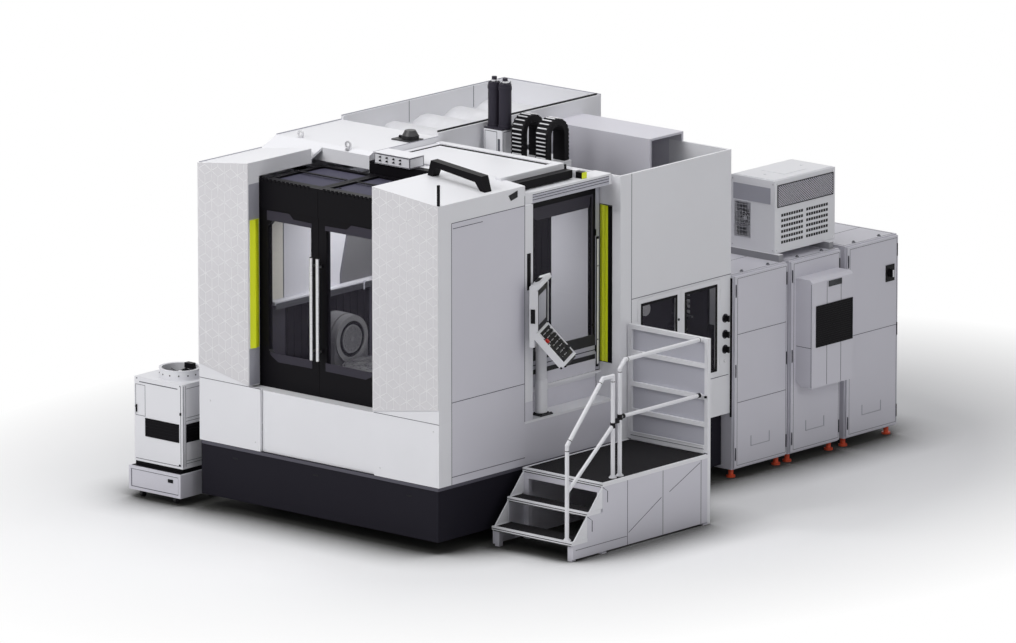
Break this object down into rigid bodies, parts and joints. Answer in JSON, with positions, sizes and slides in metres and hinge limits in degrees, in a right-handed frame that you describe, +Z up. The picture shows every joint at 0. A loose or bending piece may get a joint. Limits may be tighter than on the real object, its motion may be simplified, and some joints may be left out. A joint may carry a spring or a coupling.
{
  "type": "cnc machining center",
  "caption": "Enclosed horizontal machining centre with sliding doors, tilting rotary table, tool wheel, control pendant, operator platform, electrical cabinets, chiller and filter cart.",
  "frame": {"origin": "middle of the footprint on the floor", "axes": "+Z up, +Y from the machine's front to the rear along the row of cabinets, +X to the operator side"},
  "size_m": [4.667, 6.46, 3.74],
  "materials": {
    "white_panel": "satin",
    "shade_panel": "satin",
    "black_panel": "matt",
    "black_plastic": "matt",
    "lime_panel": "satin",
    "safety_glass": "smoked clear",
    "steel": "brushed",
    "cast_iron": "machined",
    "grey_liner": "brushed",
    "red_plastic": "gloss"
  },
  "bodies": {
    "machine": {"levelling_feet": "steel", "machine_bed": "cast_iron", "plinth": "black_panel", "lower_panels": "white_panel", "left_pillar": "white_panel", "right_pillar": "white_panel", "light_strips": "lime_panel", "left_casing": "white_panel", "rear_casing": "shade_panel", "way_covers": "white_panel", "roof_beam": "black_panel", "roof_hatch": "white_panel", "roof_fittings": "white_panel", "energy_arm": "black_panel", "side_panel": "shade_panel", "side_frame": "white_panel", "interior_liner": "grey_liner", "magazine_housing": "shade_panel", "pendant_post": "white_panel", "cabinet_bodies": "shade_panel", "chiller_case": "white_panel", "platform_frame": "white_panel", "platform_treads": "black_panel", "handrails": "white_panel", "guard_panel": "white_panel", "cart_base": "shade_panel", "cart_tower": "white_panel"},
    "left_door": {"left_door": "black_panel", "left_door_glass": "safety_glass", "left_door_handle": "steel"},
    "right_door": {"right_door": "black_panel", "right_door_glass": "safety_glass", "right_door_handle": "steel"},
    "side_door": {"side_door": "black_panel", "side_door_glass": "safety_glass"},
    "magazine_door_front": {"magazine_door_front": "white_panel", "magazine_pane_front": "safety_glass"},
    "magazine_door_rear": {"magazine_door_rear": "white_panel", "magazine_pane_rear": "safety_glass"},
    "column": {"column": "white_panel", "counterbalance": "black_panel", "cable_chain": "black_plastic", "apron": "black_panel"},
    "knob_upper": {"knob_upper": "black_plastic"},
    "knob_middle": {"knob_middle": "black_plastic"},
    "knob_lower": {"knob_lower": "black_plastic"},
    "magazine_wheel": {"magazine_wheel": "cast_iron"},
    "spindle_head": {"spindle_head": "white_panel"},
    "spindle": {"spindle": "steel"},
    "table_saddle": {"table_saddle": "grey_liner"},
    "cradle": {"cradle": "cast_iron"},
    "rotary_table": {"rotary_table": "steel"},
    "pendant_console": {"pendant_console": "white_panel"},
    "emergency_stop": {"emergency_stop": "red_plastic"},
    "cabinet_door_1": {"cabinet_door_1": "shade_panel"},
    "cabinet_door_2": {"cabinet_door_2": "shade_panel"},
    "cabinet_door_3": {"cabinet_door_3": "shade_panel"},
    "isolator_handle": {"isolator_handle": "black_plastic"},
    "chiller_fan": {"chiller_fan": "black_plastic"},
    "cart_fan": {"cart_fan": "black_plastic"}
  },
  "joints": [
    {"name": "left_door_slide", "type": "slide", "parent": "machine", "child": "left_door", "axis": [-1, 0, 0], "range_m": [0, 0.53]},
    {"name": "right_door_slide", "type": "slide", "parent": "machine", "child": "right_door", "axis": [1, 0, 0], "range_m": [0, 0.69]},
    {"name": "side_door_slide", "type": "slide", "parent": "machine", "child": "side_door", "axis": [0, -1, 0], "range_m": [0, 0.85]},
    {"name": "magazine_door_front_hinge", "type": "hinge", "parent": "machine", "child": "magazine_door_front", "pos_m": [1.3725, -0.453, 1.45], "axis": [0, 0, -1], "range_deg": [0, 95]},
    {"name": "magazine_door_rear_hinge", "type": "hinge", "parent": "machine", "child": "magazine_door_rear", "pos_m": [1.3725, 0.703, 1.45], "axis": [0, 0, 1], "range_deg": [0, 90]},
    {"name": "column_slide", "type": "slide", "parent": "machine", "child": "column", "axis": [1, 0, 0], "range_m": [0, 0.6]},
    {"name": "knob_upper_turn", "type": "hinge", "parent": "machine", "child": "knob_upper", "pos_m": [1.3925, 0.775, 1.52], "axis": [1, 0, 0], "range_deg": [-90, 90]},
    {"name": "knob_middle_turn", "type": "hinge", "parent": "machine", "child": "knob_middle", "pos_m": [1.3925, 0.775, 1.37], "axis": [1, 0, 0], "range_deg": [-90, 90]},
    {"name": "knob_lower_turn", "type": "hinge", "parent": "machine", "child": "knob_lower", "pos_m": [1.3925, 0.775, 1.23], "axis": [1, 0, 0], "range_deg": [-135, 135]},
    {"name": "magazine_wheel_turn", "type": "hinge", "parent": "machine", "child": "magazine_wheel", "pos_m": [0.8925, 0.135, 1.65], "axis": [1, 0, 0], "continuous": true},
    {"name": "head_slide", "type": "slide", "parent": "column", "child": "spindle_head", "axis": [0, 0, 1], "range_m": [-0.5, 0.45]},
    {"name": "spindle_turn", "type": "hinge", "parent": "spindle_head", "child": "spindle", "pos_m": [-0.2475, -0.895, 2.05], "axis": [0, -1, 0], "continuous": true},
    {"name": "table_slide", "type": "slide", "parent": "machine", "child": "table_saddle", "axis": [0, 1, 0], "range_m": [-0.15, 0.55]},
    {"name": "cradle_tilt", "type": "hinge", "parent": "table_saddle", "child": "cradle", "pos_m": [-0.1475, -2.145, 1.54], "axis": [1, 0, 0], "range_deg": [-110, 30]},
    {"name": "table_turn", "type": "hinge", "parent": "cradle", "child": "rotary_table", "pos_m": [-0.1475, -2.145, 1.32], "axis": [0, 0, 1], "continuous": true},
    {"name": "pendant_swivel", "type": "hinge", "parent": "machine", "child": "pendant_console", "pos_m": [1.2125, -1.605, 1.7], "axis": [0, 0, 1], "range_deg": [0, 60]},
    {"name": "emergency_stop_push", "type": "slide", "parent": "pendant_console", "child": "emergency_stop", "axis": [-0.6409, -0.3553, -0.6805], "range_m": [0, 0.004], "stiffness_N_per_m": 400},
    {"name": "cabinet_door_1_hinge", "type": "hinge", "parent": "machine", "child": "cabinet_door_1", "pos_m": [1.4175, 0.863, 1], "axis": [0, 0, -1], "range_deg": [0, 95]},
    {"name": "cabinet_door_2_hinge", "type": "hinge", "parent": "machine", "child": "cabinet_door_2", "pos_m": [1.4175, 1.671, 1], "axis": [0, 0, -1], "range_deg": [0, 95]},
    {"name": "cabinet_door_3_hinge", "type": "hinge", "parent": "machine", "child": "cabinet_door_3", "pos_m": [1.4175, 2.483, 1], "axis": [0, 0, -1], "range_deg": [0, 95]},
    {"name": "isolator_turn", "type": "hinge", "parent": "cabinet_door_3", "child": "isolator_handle", "pos_m": [1.4225, 3.105, 1.556], "axis": [1, 0, 0], "range_deg": [0, 90]},
    {"name": "chiller_fan_turn", "type": "hinge", "parent": "machine", "child": "chiller_fan", "pos_m": [0.9125, 1.665, 2.2488], "axis": [0, 1, 0], "continuous": true},
    {"name": "cart_fan_turn", "type": "hinge", "parent": "machine", "child": "cart_fan", "pos_m": [-1.9725, -2.925, 1.129], "axis": [0, 0, 1], "continuous": true}
  ]
}
